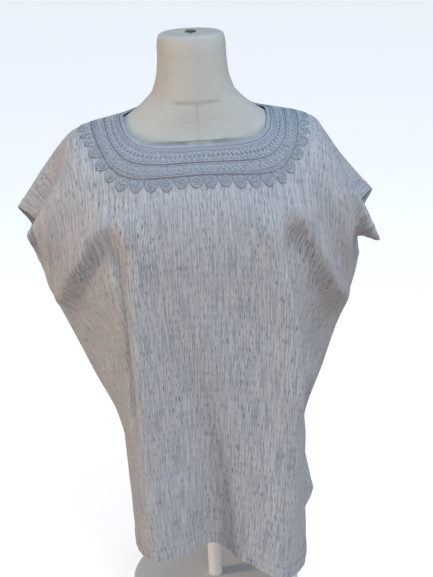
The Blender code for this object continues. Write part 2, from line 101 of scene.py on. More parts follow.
# cover of the dress form
CAP_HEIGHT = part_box("form_body")[1].z
CAP_RADIUS = 0.044
DISC_HOLE = 0.004
NECK_SEAM_DROP = 0.089
NECK_SEAM_SAG = 0.010
COVER_AROUND = 168
CAP_RINGS = 13
CAP_DIP = 0.0012
PUCKERS = 17
PUCKER_HEIGHT = 0.0011

# seams of the form's cover: depth of the groove, or strength of the tint, and its half width
NECK_SEAM = (0.0010, 0.0026)
MIDDLE_SEAM = (0.0009, 0.0016)
SIDE_SEAM = (0.0008, 0.0018)
NECK_SEAM_TINT = (0.90, 0.0022)
MIDDLE_SEAM_TINT = (0.22, 0.0016)

# one row a fold line of the cloth: place across the width, then v, x, y, z below the cap at each station
# stations: shoulder, ridge over the shoulder, cuff if any, break under the bust or wing, waist, hip, hem
FRONT_FOLDS = (
    ("seam_left", -0.360, (0.000, -0.255, 0.010, -0.292), (0.070, -0.272, -0.056, -0.293),
     (0.105, -0.264, -0.042, -0.318), (0.185, -0.261, 0.002, -0.350), (0.410, -0.190, 0.012, -0.553),
     (0.580, -0.142, 0.035, -0.690), (0.770, -0.138, 0.035, -0.840)),
    ("wing_left_3", -0.320, (0.000, -0.242, 0.007, -0.264), (0.070, -0.254, -0.060, -0.262),
     (0.140, -0.247, -0.054, -0.330), (0.265, -0.236, -0.020, -0.404), (0.410, -0.178, -0.012, -0.540),
     (0.580, -0.144, -0.003, -0.684), (0.770, -0.138, -0.006, -0.836)),
    ("wing_left_2", -0.282, (0.000, -0.229, 0.004, -0.232), (0.070, -0.233, -0.063, -0.229),
     (0.250, -0.221, -0.062, -0.372), (0.410, -0.164, -0.038, -0.526), (0.580, -0.140, -0.042, -0.676),
     (0.770, -0.135, -0.047, -0.832)),
    ("wing_left_1", -0.243, (0.000, -0.215, 0.002, -0.194), (0.070, -0.212, -0.063, -0.198),
     (0.232, -0.203, -0.087, -0.342), (0.410, -0.153, -0.065, -0.513), (0.580, -0.143, -0.082, -0.667),
     (0.770, -0.139, -0.087, -0.830)),
    ("tip_left", -0.205, (0.000, -0.200, 0.000, -0.154), (0.070, -0.192, -0.061, -0.169),
     (0.215, -0.180, -0.108, -0.312), (0.410, -0.144, -0.096, -0.500), (0.580, -0.140, -0.116, -0.656),
     (0.770, -0.134, -0.126, -0.829)),
    ("fold_left", -0.135, (0.000, -0.133, 0.000, -0.129), (0.070, -0.131, -0.063, -0.153),
     (0.185, -0.133, -0.128, -0.250), (0.410, -0.131, -0.136, -0.474), (0.580, -0.123, -0.143, -0.642),
     (0.770, -0.110, -0.169, -0.824)),
    ("front_left", -0.070, (0.000, -0.070, 0.000, -0.117), (0.070, -0.070, -0.065, -0.139),
     (0.185, -0.068, -0.131, -0.232), (0.410, -0.066, -0.141, -0.455), (0.580, -0.066, -0.145, -0.624),
     (0.770, -0.066, -0.160, -0.824)),
    ("front_middle", 0.000, (0.000, 0.000, 0.000, -0.113), (0.070, 0.000, -0.066, -0.136),
     (0.185, 0.000, -0.131, -0.226), (0.410, 0.000, -0.139, -0.450), (0.580, -0.005, -0.133, -0.624),
     (0.770, -0.012, -0.124, -0.830)),
    ("front_right", 0.070, (0.000, 0.070, 0.000, -0.117), (0.070, 0.070, -0.065, -0.139),
     (0.185, 0.068, -0.131, -0.235), (0.410, 0.068, -0.139, -0.460), (0.580, 0.062, -0.146, -0.638),
     (0.770, 0.044, -0.160, -0.847)),
    ("fold_right", 0.135, (0.000, 0.133, 0.000, -0.129), (0.070, 0.131, -0.063, -0.155),
     (0.190, 0.127, -0.127, -0.262), (0.410, 0.139, -0.134, -0.486), (0.580, 0.130, -0.148, -0.660),
     (0.770, 0.098, -0.184, -0.872)),
    ("tip_right", 0.205, (0.000, 0.196, 0.000, -0.151), (0.070, 0.191, -0.060, -0.168),
     (0.230, 0.168, -0.106, -0.330), (0.410, 0.153, -0.096, -0.510), (0.580, 0.148, -0.117, -0.674),
     (0.770, 0.132, -0.151, -0.877)),
    ("wing_right_1", 0.243, (0.000, 0.210, 0.002, -0.194), (0.070, 0.214, -0.066, -0.202),
     (0.245, 0.191, -0.084, -0.366), (0.410, 0.164, -0.065, -0.524), (0.580, 0.152, -0.082, -0.685),
     (0.770, 0.150, -0.104, -0.870)),
    ("wing_right_2", 0.282, (0.000, 0.225, 0.003, -0.233), (0.072, 0.238, -0.069, -0.238),
     (0.260, 0.213, -0.058, -0.400), (0.410, 0.178, -0.038, -0.538), (0.580, 0.147, -0.042, -0.692),
     (0.770, 0.151, -0.056, -0.862)),
    ("wing_right_3", 0.320, (0.000, 0.241, 0.002, -0.267), (0.076, 0.258, -0.072, -0.281),
     (0.135, 0.243, -0.062, -0.330), (0.275, 0.240, -0.018, -0.432), (0.410, 0.195, -0.012, -0.552),
     (0.580, 0.151, -0.003, -0.699), (0.770, 0.162, -0.010, -0.856)),
    ("seam_right", 0.360, (0.000, 0.256, -0.004, -0.300), (0.080, 0.277, -0.077, -0.330),
     (0.118, 0.258, -0.050, -0.329), (0.185, 0.263, 0.010, -0.386), (0.410, 0.206, 0.012, -0.566),
     (0.580, 0.170, 0.035, -0.708), (0.770, 0.186, 0.030, -0.833)),
)
BACK_FOLDS = (
    ("seam_left", -0.360, (0.000, -0.255, 0.010, -0.292), (0.070, -0.292, 0.062, -0.278),
     (0.115, -0.272, 0.054, -0.304), (0.150, -0.269, 0.028, -0.328), (0.185, -0.261, 0.002, -0.350),
     (0.410, -0.190, 0.012, -0.553), (0.580, -0.142, 0.035, -0.690), (0.770, -0.138, 0.035, -0.840)),
    ("wing_left", -0.282, (0.000, -0.229, 0.004, -0.232), (0.070, -0.249, 0.062, -0.219),
     (0.240, -0.222, 0.084, -0.372), (0.410, -0.170, 0.070, -0.532), (0.580, -0.139, 0.088, -0.690),
     (0.770, -0.134, 0.084, -0.842)),
    ("tip_left", -0.205, (0.000, -0.200, 0.000, -0.154), (0.070, -0.201, 0.059, -0.164),
     (0.205, -0.180, 0.108, -0.290), (0.410, -0.146, 0.114, -0.496), (0.580, -0.134, 0.128, -0.662),
     (0.770, -0.122, 0.142, -0.844)),
    ("back_left", -0.105, (0.000, -0.104, 0.010, -0.118), (0.070, -0.103, 0.076, -0.142),
     (0.185, -0.100, 0.118, -0.246), (0.410, -0.094, 0.124, -0.470), (0.580, -0.086, 0.134, -0.640),
     (0.770, -0.066, 0.130, -0.830)),
    ("back_middle", 0.000, (0.000, 0.000, 0.046, -0.104), (0.070, 0.000, 0.100, -0.136),
     (0.185, 0.000, 0.125, -0.240), (0.410, 0.000, 0.128, -0.464), (0.580, 0.002, 0.144, -0.634),
     (0.770, 0.006, 0.168, -0.824)),
    ("back_right", 0.105, (0.000, 0.104, 0.010, -0.118), (0.070, 0.103, 0.076, -0.142),
     (0.185, 0.100, 0.118, -0.248), (0.410, 0.096, 0.124, -0.472), (0.580, 0.090, 0.132, -0.644),
     (0.770, 0.078, 0.132, -0.838)),
    ("tip_right", 0.205, (0.000, 0.196, 0.000, -0.151), (0.070, 0.201, 0.059, -0.166),
     (0.205, 0.180, 0.108, -0.298), (0.410, 0.154, 0.113, -0.504), (0.580, 0.146, 0.126, -0.672),
     (0.770, 0.140, 0.148, -0.858)),
    ("wing_right", 0.282, (0.000, 0.225, 0.003, -0.233), (0.070, 0.250, 0.062, -0.228),
     (0.240, 0.224, 0.084, -0.390), (0.410, 0.184, 0.068, -0.548), (0.580, 0.154, 0.086, -0.704),
     (0.770, 0.164, 0.088, -0.854)),
    ("seam_right", 0.360, (0.000, 0.256, -0.004, -0.300), (0.080, 0.298, 0.062, -0.289),
     (0.120, 0.275, 0.052, -0.326), (0.185, 0.263, 0.010, -0.386), (0.410, 0.206, 0.012, -0.566),
     (0.580, 0.170, 0.035, -0.708), (0.770, 0.186, 0.030, -0.833)),
)
# creases on those lines: front or back, from u v, to u v, half width above and below, height outward
CREASES = (
    ("front", -0.134, 0.168, -0.345, 0.290, 0.026, 0.013, 0.0105),
    ("front", -0.138, 0.194, -0.345, 0.345, 0.020, 0.090, -0.0135),
    ("front", -0.124, 0.172, -0.124, 0.480, 0.030, 0.011, 0.0095),
    ("front", -0.146, 0.190, -0.152, 0.480, 0.016, 0.055, -0.0125),
    ("front", 0.114, 0.164, 0.340, 0.308, 0.026, 0.013, 0.0100),
    ("front", 0.120, 0.188, 0.340, 0.358, 0.019, 0.090, -0.0135),
    ("front", 0.112, 0.172, 0.138, 0.480, 0.011, 0.030, 0.0085),
    ("front", 0.136, 0.195, 0.166, 0.480, 0.055, 0.016, -0.0120),
    ("front", 0.262, 0.075, 0.345, 0.150, 0.020, 0.022, -0.0090),
    ("front", 0.225, 0.115, 0.310, 0.240, 0.018, 0.022, 0.0060),
    ("front", -0.225, 0.410, -0.350, 0.455, 0.024, 0.024, 0.0080),
    ("front", 0.235, 0.430, 0.350, 0.470, 0.026, 0.026, 0.0070),
    ("front", -0.020, 0.330, 0.060, 0.760, 0.034, 0.022, 0.0065),
    ("front", -0.050, 0.400, 0.010, 0.760, 0.022, 0.030, -0.0050),
    ("back", -0.160, 0.200, -0.340, 0.270, 0.026, 0.014, 0.0085),
    ("back", -0.160, 0.245, -0.340, 0.325, 0.022, 0.040, -0.0110),
    ("back", 0.160, 0.200, 0.340, 0.280, 0.026, 0.014, 0.0085),
    ("back", 0.160, 0.245, 0.340, 0.335, 0.022, 0.040, -0.0110),
    ("back", -0.235, 0.400, -0.350, 0.450, 0.026, 0.026, 0.0070),
    ("back", 0.235, 0.420, 0.350, 0.470, 0.026, 0.026, 0.0070),
    ("back", 0.030, 0.280, -0.040, 0.760, 0.030, 0.026, 0.0060),
)

# one row a section of the dress form: z below the cap, half width, front, back, squareness
FORM_SECTIONS = (
    (0.0000, 0.0440, 0.0440, 0.0440, 2.0),
    (0.0035, 0.0500, 0.0500, 0.0500, 2.0),
    (0.0110, 0.0520, 0.0520, 0.0520, 2.0),
    (0.0400, 0.0535, 0.0545, 0.0540, 2.0),
    (0.0690, 0.0575, 0.0570, 0.0560, 2.0),
    (0.0880, 0.0650, 0.0590, 0.0590, 2.0),
    (0.1020, 0.0770, 0.0610, 0.0630, 2.0),
    (0.1160, 0.0940, 0.0630, 0.0670, 2.0),
    (0.1290, 0.1143, 0.0650, 0.0700, 2.0),
    (0.1400, 0.1400, 0.0680, 0.0740, 2.0),
    (0.1520, 0.1620, 0.0740, 0.0790, 2.1),
    (0.1660, 0.1740, 0.0800, 0.0830, 2.2),
    (0.1850, 0.1780, 0.0900, 0.0900, 2.2),
    (0.2150, 0.1710, 0.1040, 0.0960, 2.2),
    (0.2500, 0.1590, 0.1150, 0.0990, 2.2),
    (0.3000, 0.1450, 0.1200, 0.0980, 2.2),
    (0.3600, 0.1320, 0.1120, 0.0920, 2.2),
    (0.4300, 0.1190, 0.0960, 0.0850, 2.2),
    (0.4900, 0.1150, 0.0900, 0.0830, 2.2),
    (0.5600, 0.1240, 0.0950, 0.0940, 2.2),
    (0.6300, 0.1310, 0.1000, 0.1060, 2.2),
    (0.7000, 0.1310, 0.1000, 0.1100, 2.2),
    (0.7420, 0.1270, 0.0960, 0.1060, 2.2),
    (0.7500, 0.1200, 0.0890, 0.0990, 2.2),
)

# the yoke's stitching, metres out from the neck's cut edge; a zigzag has its middle, swing,
# teeth for each scallop and start, and an arc its share of the scallop
PALE_LINES = (0.0048, 0.0215, 0.0250, 0.0362, 0.0384, 0.0406)
DARK_LINES = (0.0233, 0.0373, 0.0425)
PALE_ZIGZAGS = (
    (0.0088, 0.0026, 2.5, 0.0), (0.0105, 0.0026, 2.5, 0.0),
    (0.0158, 0.0028, 2.5, 0.5), (0.0176, 0.0028, 2.5, 0.5),
    (0.0292, 0.0030, 2.5, 0.0), (0.0316, 0.0030, 2.5, 0.0),
)
DARK_ZIGZAGS = ((0.0097, 0.0026, 2.5, 0.0), (0.0133, 0.0022, 2.5, 0.25), (0.0167, 0.0028, 2.5, 0.5),
                (0.0304, 0.0030, 2.5, 0.0))
PALE_ARCS = (0.90, 0.70, 0.50, 0.30, 0.12)
DARK_ARCS = (1.0, 0.60)

# threads: width, height and number of sides
BAND_THREAD = (0.0019, 0.0016, 6)
SCALLOP_THREAD = (0.0021, 0.0017, 6)
LINE_THREAD = (0.0008, 0.0014, 5)
OUTLINE_THREAD = (0.0009, 0.0013, 5)
HEM_THREAD = (0.0008, 0.0007, 5)
THREAD_SINK = 0.3
THREAD_END = 0.35
# short stitches beside the binding: distance from the neck's cut edge, pitch, length
NECK_STITCHES = (0.0030, 0.0042, 0.0022)

# slow unevenness of the hanging cloth: height, metres from crest to crest, seed
SOFT_WAVES = ((0.0011, 0.110, 3), (0.0005, 0.045, 8))

# marks of the cotton for each metre across and down
FLECKS = (1350, 74, 1)
STRANDS = (470, 16, 1)
CLOUDS = (26, 7, 1)
RIBS = (560, 34, 1)
WEFT = (520, 900, 1)

# how the grain leans: panel, u, v, reach across, reach down, lean for each metre down
LEANS = (
    ("front", -0.235, 0.360, 0.085, 0.130, -0.85),
    ("front", 0.240, 0.380, 0.085, 0.140, 0.85),
    ("front", -0.260, 0.150, 0.080, 0.110, -0.30),
    ("back", -0.240, 0.370, 0.080, 0.140, -0.60),
    ("back", 0.240, 0.380, 0.080, 0.140, 0.60),
)

# linear colours
COTTON_CREAM = (0.515, 0.50, 0.49)
COTTON_GREY = (0.34, 0.35, 0.385)
COTTON_DARK = (0.07, 0.085, 0.12)
THREAD_PALE = (0.62, 0.63, 0.66)
THREAD_DEEP = (0.32, 0.355, 0.40)
# painted shade for the cloth between the yoke's dense embroidery
YOKE_PAINTED_SHADE = (0.36, 0.375, 0.415)
LINE_DARK = (0.225, 0.24, 0.275)
BINDING_PALE = (0.36, 0.385, 0.43)
COVER_LIGHT = (0.52, 0.495, 0.44)
COVER_DEEP = (0.44, 0.42, 0.375)
# brown of the cover's seams, also used as painted shade in the cap's gathers
SEAM_BROWN_AND_PLEAT_SHADE = (0.22, 0.185, 0.14)

# camera of the photograph's view: its place, how far it looks down, its turn round the form and its roll
CAMERA_PLACE = (-0.1295, -1.7457, CAP_HEIGHT + 0.245)
CAMERA_DOWN = math.radians(20.8)
CAMERA_TURN = math.radians(-5.0)
CAMERA_ROLL = math.radians(2.4)
# its height and focal length in pixels, and the sensor's height in millimetres
PHOTO_HEIGHT = 577
FOCAL_PIXELS = 1131.7
SENSOR = 36

# lights: name, place, width and height, watts, colour
LIGHTS = (
    ("sky", (0.8, -1.3, 2.8), (1.3, 1.3), 44, (0.62, 0.81, 1.0)),
    ("warm", (-2.4, -0.25, 1.00), (0.5, 0.7), 27, (1.0, 0.76, 0.54)),
    ("front", (0.3, -3.2, 0.4), (2.0, 0.8), 28, (1.0, 0.92, 0.88)),
)
AIM = (0, 0, CAP_HEIGHT - 0.40)
GROUND_GLOW = (0.55, 0.44, 0.37, 1)
SKY_GLOW = (0.70, 0.83, 1.0, 1)
WORLD_STRENGTH = 0.52
FLOOR_REACH = 30.0
FLOOR_GLOW = 0.50


def blend(t):
    """0 below 0, 1 above 1 and a smooth step between."""
    t = np.clip(t, 0, 1)
    return t * t * (3 - 2 * t)


def through(points, t, i, lead, tail):
    """A curve through rows of points, its slopes by the distances between them, at the share t of interval i.

    lead and tail are the points beyond its two ends.
    """
    path = np.concatenate([lead[None], points, tail[None]])
    step = np.diff(path, axis=0)
    run = np.maximum(np.linalg.norm(step, axis=-1, keepdims=True), 1e-9)
    way = step / run
    slope = (way[:-1] * run[1:] + way[1:] * run[:-1]) / (run[:-1] + run[1:])
    k = np.arange(len(i))
    h = run[i + 1, k]
    start = points[i, k]
    end = points[i + 1, k]
    t = t[:, None]
    return (
        (1 + 2 * t) * (1 - t) ** 2 * start
        + t * (1 - t) ** 2 * h * slope[i, k]
        + t * t * (3 - 2 * t) * end
        + t * t * (t - 1) * h * slope[i + 1, k]
    )


def interval(places, at):
    """Which stretch between places each value is in, and its share of that stretch."""
    at = np.clip(at, places[0], places[-1])
    i = np.clip(np.searchsorted(places, at, side="right") - 1, 0, len(places) - 2)
    return i, (at - places[i]) / (places[i + 1] - places[i])


def ridge_point(folds, u):
    """Where a panel's ridge is at u, so that the other's fold lines run on over the shoulder."""
    across = [row[1] for row in folds]
    return np.array([np.interp(u, across, [row[3][k] for row in folds]) for k in (1, 2, 3)])


def column(row, other, v):
    """Points down one fold line; it comes over the shoulder from the other panel's ridge."""
    stations = np.array(row[2:])
    i, t = interval(stations[:, 0], v)
    points = np.repeat(stations[:, None, 1:], len(v), axis=1)
    lead = np.repeat(ridge_point(other, row[1])[None], len(v), axis=0)
    tail = 2 * points[-1] - points[-2]
    return through(points, t, i, lead, tail)


FOLDS = {"front": FRONT_FOLDS, "back": BACK_FOLDS}
OTHER = {"front": "back", "back": "front"}


def loose_middle(name, u, v):
    """Middle of one panel from its own fold lines."""
    folds = FOLDS[name]
    other = FOLDS[OTHER[name]]
    lines = np.array([column(row, other, v) for row in folds])
    sewn = blend((v - ARM_OPENING + 0.02) / 0.05)[:, None]
    lead = (2 * lines[0] - lines[1]) * (1 - sewn) + column(other[1], folds, v) * sewn
    tail = (2 * lines[-1] - lines[-2]) * (1 - sewn) + column(other[-2], folds, v) * sewn
    i, t = interval(np.array([row[1] for row in folds]), u)
    return through(lines, t, i, lead, tail)


def sheet_middle(name, u, v):
    """Middle of the cloth at flat places u, v, before creases; the back meets the front at its edges."""
    u = np.asarray(u, float)
    shape = u.shape
    u = u.ravel()
    v = np.asarray(v, float).ravel()
    p = loose_middle(name, u, v)
    if name == "back":
        share = blend((np.abs(u) - 0.085) / 0.03) * (1 - blend(v / 0.07))
        k = share > 0
        none = np.zeros(k.sum())
        p[k] += (loose_middle("front", u[k], none) - loose_middle("back", u[k], none)) * share[k, None]
        share = (1 - blend((HALF_WIDTH - np.abs(u)) / 0.08)) * (v >= ARM_OPENING)
        k = share > 0
        side = np.sign(u[k]) * HALF_WIDTH
        p[k] += (loose_middle("front", side, v[k]) - loose_middle("back", side, v[k])) * share[k, None]
    p[:, 2] += CAP_HEIGHT
    return p.reshape(shape + (3,))


def normals(name, u, v):
    """Unit normals of one panel's middle, out of the garment."""
    side = 1.0 if name == "front" else -1.0
    e = 0.0015
    across = sheet_middle(name, u + e, v) - sheet_middle(name, u - e, v)
    down = sheet_middle(name, u, v + e) - sheet_middle(name, u, np.maximum(v - e, 0))
    n = np.cross(down, across) * side
    return n / np.linalg.norm(n, axis=-1, keepdims=True)


def outward(name, u, v):
    """Unit normals out of the garment, shared by both panels along the side seams and the shoulder fold."""
    other = OTHER[name]
    n = normals(name, u, v)
    seam = blend(1 - (HALF_WIDTH - np.abs(u)) / 0.012) * blend((v - ARM_OPENING + 0.01) / 0.02) * 0.5
    k = seam > 0
    n[k] = n[k] * (1 - seam[k, None]) + normals(other, np.sign(u[k]) * HALF_WIDTH, v[k]) * seam[k, None]
    fold = blend(1 - v / 0.012) * 0.5
    k = fold > 0
    n[k] = n[k] * (1 - fold[k, None]) + normals(other, u[k], np.zeros(k.sum())) * fold[k, None]
    length = np.linalg.norm(n, axis=-1, keepdims=True)
    return n / length / np.maximum(length, 0.62)


def crease_height(name, u, v):
    """Soft ridges and troughs, steeper on one side than on the other, that die out at the side seams."""
    total = np.zeros(np.shape(u))
    sewn = blend((v - ARM_OPENING + 0.06) / 0.06)
    edge = 1 - sewn * (1 - blend((HALF_WIDTH - np.abs(u)) / 0.070))
    for panel, u0, v0, u1, v1, above, below, height in CREASES:
        if panel != name:
            continue
        run = math.hypot(u1 - u0, v1 - v0)
        along = ((u - u0) * (u1 - u0) + (v - v0) * (v1 - v0)) / run / run
        off = ((v - v0) * (u1 - u0) - (u - u0) * (v1 - v0)) / run * (1 if u1 >= u0 else -1)
        half = np.where(off < 0, above, below)
        fade = blend(along * 5) * blend((1.25 - along) * 4)
        total += height * fade * edge * np.exp(-((off / half) ** 2))
    return total


def cloth_points(name, u, v, out):
    """Points of the front or back panel, moved out of its middle by `out`."""
    u = np.asarray(u, float)
    v = np.asarray(v, float)
    out = np.asarray(out, float)
    n = outward(name, u, v)
    return sheet_middle(name, u, v) + n * (crease_height(name, u, v) + out)[..., None]


def arch(half, depth, power, s):
    """Flat places on a rounded arch from -half to half at the shoulder fold, `depth` deep, s from 0 to 1."""
    angle = math.pi * (1 - np.asarray(s, float))
    c = np.cos(angle)
    u = half * np.sign(c) * np.abs(c) ** (2 / power)
    v = depth * np.abs(np.sin(angle)) ** (2 / power)
    return u, v


def even(half, depth, power, count):
    """Values of s that space `count` steps evenly along an arch."""
    fine = np.linspace(0, 1, 4001)
    u, v = arch(half, depth, power, fine)
    run = np.concatenate([[0], np.cumsum(np.hypot(np.diff(u), np.diff(v)))])
    return np.interp(np.linspace(0, run[-1], count + 1), run, fine)


def neck_arch(name, grow):
    """Half width, depth and squareness of the curve `grow` outside the neck's cut edge."""
    depth = NECK_FRONT if name == "front" else NECK_BACK
    return NECK_HALF_WIDTH + grow, depth + grow, NECK_POWER


def wave(u, v, size, seed):
    """Slow unevenness of hanging cloth, from -1 to 1, about `size` metres from crest to crest."""
    rng = np.random.default_rng(seed)
    total = np.zeros(np.shape(u))
    for _ in range(6):
        turn = rng.uniform(0, 2 * math.pi)
        start = rng.uniform(0, 2 * math.pi)
        k = 2 * math.pi / (size * rng.uniform(0.7, 1.5))
        total += np.sin(k * (u * math.cos(turn) * 1.6 + v * math.sin(turn) * 0.7) + start)
    return total / 6


def hem_height(u, v):
    """The turned and stitched bands at the cuffs and the bottom, one layer thicker than the cloth."""
    past_cuff = np.abs(u) - HALF_WIDTH + HEM_DEPTH
    past_foot = v - LENGTH + HEM_DEPTH
    sleeve = v < ARM_OPENING
    band = np.maximum(blend(past_cuff / HEM_TURN) * sleeve, blend(past_foot / HEM_TURN))
    near_cuff = blend((past_cuff + HEM_DEPTH * 0.6) / HEM_DEPTH) * sleeve
    near_foot = blend((past_foot + HEM_DEPTH * 0.6) / HEM_DEPTH)
    pucker = np.sin(v * 2 * math.pi / CUFF_PUCKER_LENGTH) * near_cuff
    pucker += np.sin(u * 2 * math.pi / FOOT_PUCKER_LENGTH) * near_foot
    return HEM_STEP * band + HEM_PUCKER * pucker


def yoke_grow(name, u, v):
    """How far a flat place lies outside the neck's cut edge, about."""
    half, depth, power = neck_arch(name, 0.0)
    low = np.full(np.shape(u), -0.02)
    high = np.full(np.shape(u), 0.12)
    for _ in range(24):
        mid = (low + high) / 2
        inside = (np.abs(u) / (half + mid)) ** power + (np.abs(v) / (depth + mid)) ** power < 1
        high = np.where(inside, mid, high)
        low = np.where(inside, low, mid)
    return (low + high) / 2


def relief(name, u, v):
    """What lifts the cloth off its smooth middle, but for the hems: creases, waves and the stitched yoke."""
    edge = blend((HALF_WIDTH - np.abs(u)) / 0.030)
    soft = sum(height * wave(u, v, size, seed) for height, size, seed in SOFT_WAVES)
    down = blend((v - 0.10) / 0.20)
    grow = yoke_grow(name, u, v)
    yoke = YOKE_RAISE * blend((YOKE_BAND + 0.008 - grow) / 0.010)
    return crease_height(name, u, v) + soft * edge * down + yoke


def panel_grid(name):
    """Flat places of a panel's points and the quads between them."""
    depth = FRAME_FRONT if name == "front" else FRAME_BACK
    s = even(*neck_arch(name, YOKE_EDGE), AROUND)
    rings = [arch(*neck_arch(name, grow), s) for grow in np.linspace(0, YOKE_EDGE + 0.008, RINGS_NEAR)]
    near_u, near_v = rings[-1]
    frame_arch = (FRAME_HALF, depth, FRAME_POWER)
    far_u, far_v = arch(*frame_arch, even(*frame_arch, AROUND))
    for t in np.linspace(0, 1, RINGS_FAR + 1)[1:]:
        rings.append((near_u + (far_u - near_u) * t, near_v + (far_v - near_v) * t))
    flat_u = [r[0] for r in rings]
    flat_v = [r[1] for r in rings]
    count = AROUND + 1
    quads = []
    for r in range(len(rings) - 1):
        a = r * count
        quads += [(a + i, a + i + 1, a + i + 1 + count, a + i + count) for i in range(AROUND)]
    wing = np.linspace(HALF_WIDTH - SEAM_GAP / 2, FRAME_HALF, WING + 1)[:-1]
    columns = np.concatenate([-wing, far_u, wing[::-1]])
    tops = np.concatenate([np.zeros(WING), far_v, np.zeros(WING)])
    base = len(rings) * count
    flat_u += [-wing, wing[::-1]]
    flat_v += [np.zeros(WING), np.zeros(WING)]
    above = list(range(base, base + WING)) + list(range(base - count, base))
    above += list(range(base + WING, base + 2 * WING))
    base += 2 * WING
    for share in np.linspace(0, 1, ROWS + 1)[1:]:
        flat_u.append(columns)
        flat_v.append(tops + (LENGTH - tops) * share)
        row = list(range(base, base + len(columns)))
        quads += [(above[i], above[i + 1], row[i + 1], row[i]) for i in range(len(columns) - 1)]
        above = row
        base += len(columns)
    return np.concatenate(flat_u), np.concatenate(flat_v), quads


def make_piece(name, points, faces, mat, uv_name=None, uv=None):
    """A smooth mesh object, with one flat place for each point where uv is given."""
    mesh = bpy.data.meshes.new(name)
    mesh.from_pydata(points.tolist(), [], faces)
    if uv is not None:
        layer = mesh.uv_layers.new(name=uv_name)
        corner = np.zeros(len(mesh.loops), np.int32)
        mesh.loops.foreach_get("vertex_index", corner)
        layer.data.foreach_set("uv", uv[corner].astype(np.float32).ravel())
    mesh.shade_smooth()
    mesh.materials.append(mat)
    obj = bpy.data.objects.new(name, mesh)
    bpy.context.scene.collection.objects.link(obj)
    return obj


def mark_points(obj, name, values):
    """Keeps one number for each point, for a material to read."""
    layer = obj.data.attributes.new(name, "FLOAT", "POINT")
    layer.data.foreach_set("value", np.asarray(values, np.float32).ravel())


def loop_faces(rings, around, closed):
    """Quads between rings of `around` points; closed also joins the last ring to the first."""
    faces = []
    for k in range(rings if closed else rings - 1):
        a = k * around
        b = (k + 1) % rings * around
        for i in range(around):
            j = (i + 1) % around
            faces.append((a + i, b + i, b + j, a + j))
    return faces


def shell(name, outside, inside, quads, uv, mat):
    """A closed thin mesh from two skins with the same quads, and walls along their open edges."""
    n = len(outside)
    edges = dict.fromkeys(edge for quad in quads for edge in zip(quad, quad[1:] + quad[:1]))
    rim = [(a, b) for a, b in edges if (b, a) not in edges]
    faces = [tuple(reversed(q)) for q in quads]
    faces += [tuple(i + n for i in q) for q in quads]
    faces += [(a, b, b + n, a + n) for a, b in rim]
    obj = make_piece(name, np.concatenate([outside, inside]), faces, mat, "cut", np.concatenate([uv, uv]))
    obj.data.set_sharp_from_angle(angle=math.radians(50))
    return obj


def grain(name, u, v):
    """Where the warp runs: the flat place, leaned where the cloth is dragged round under the arms."""
    lean = np.zeros(np.shape(u))
    for panel, u0, v0, reach_u, reach_v, amount in LEANS:
        if panel != name:
            continue
        near = np.exp(-((u - u0) / reach_u) ** 2 - ((v - v0) / reach_v) ** 2)
        lean += amount * near * (v - v0)
    return np.stack([u + lean, v], axis=-1)


def cloth_panel(name, node, mat):
    """The front or back panel, thicker at its hems, with the yoke's ground marked for painted shade."""
    u, v, quads = panel_grid(name)
    v = np.maximum(v, SEAM_GAP / 2)
    if name == "back":
        quads = [tuple(reversed(q)) for q in quads]
    middle = sheet_middle(name, u, v)
    n = outward(name, u, v)
    lift = relief(name, u, v)
    hem = hem_height(u, v)
    outside = middle + n * (lift + hem + CLOTH / 2)[:, None]
    inside = middle + n * (lift - CLOTH / 2)[:, None]
    obj = shell("huipil_" + name, outside, inside, quads, grain(name, u, v), mat)
    # painted shade: the yoke's ground is marked to be darkened, as the shadow between its dense embroidery
    stitched = blend((YOKE_BAND + 0.014 - yoke_grow(name, u, v)) / 0.004)
    mark_points(obj, "stitched", np.concatenate([stitched, stitched * 0]))
    finish_piece(obj, "striped_cotton", node)
    return obj


def finish_piece(obj, slot, *nodes):
    """Puts every piece under its body and hides the solids it stands for; slot is not used."""
    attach(obj, "root")
    if nodes:
        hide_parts(*nodes)


def surface(name, u, v, out):
    """Points `out` above a panel's outer skin, with the normals there."""
    u = np.asarray(u, float)
    v = np.maximum(np.asarray(v, float), SEAM_GAP / 2)
    n = outward(name, u, v)
    lift = relief(name, u, v) + hem_height(u, v) + CLOTH / 2 + out
    return sheet_middle(name, u, v) + n * lift[..., None], n


def threads(name, panel, paths, size, mat):
    """Stitched threads as low rounded tubes along flat paths, joined into one piece."""
    width, height, sides = size
    verts = []
    faces = []
    uvs = []
    base = 0
    flat_u = np.concatenate([p[0] for p in paths])
    flat_v = np.concatenate([p[1] for p in paths])
    points, normal = surface(panel, flat_u, flat_v, 0.0)
    start = 0
    angle = np.linspace(0, 2 * math.pi, sides, endpoint=False)
    for path_u, _ in paths:
        count = len(path_u)
        p = points[start:start + count]
        n = normal[start:start + count]
        start += count
        step = np.gradient(p, axis=0)
        run = np.concatenate([[0], np.cumsum(np.linalg.norm(np.diff(p, axis=0), axis=1))])
        way = step / np.maximum(np.linalg.norm(step, axis=1, keepdims=True), 1e-9)
        side = np.cross(n, way)
        side /= np.maximum(np.linalg.norm(side, axis=1, keepdims=True), 1e-9)
        taper = np.ones(count)
        taper[0] = THREAD_END
        taper[-1] = THREAD_END
        for k, a in enumerate(angle):
            reach = side * (width / 2 * math.cos(a) * taper)[:, None]
            rise = n * (height / 2 * (math.sin(a) + 1 - THREAD_SINK) * taper)[:, None]
            verts.append(p + reach + rise)
            uvs.append(np.stack([run, np.full(count, k / sides)], axis=-1))
        block = [(base + (k % sides) * count) for k in range(sides + 1)]
        for k in range(sides):
            a, b = block[k], block[k + 1]
            faces += [(a + i, b + i, b + i + 1, a + i + 1) for i in range(count - 1)]
        faces.append(tuple(block[k] for k in range(sides)))
        faces.append(tuple(block[k] + count - 1 for k in reversed(range(sides))))
        base += count * sides
    obj = make_piece(name, np.concatenate(verts), faces, mat, "thread", np.concatenate(uvs))
    finish_piece(obj, "striped_cotton")
    return obj


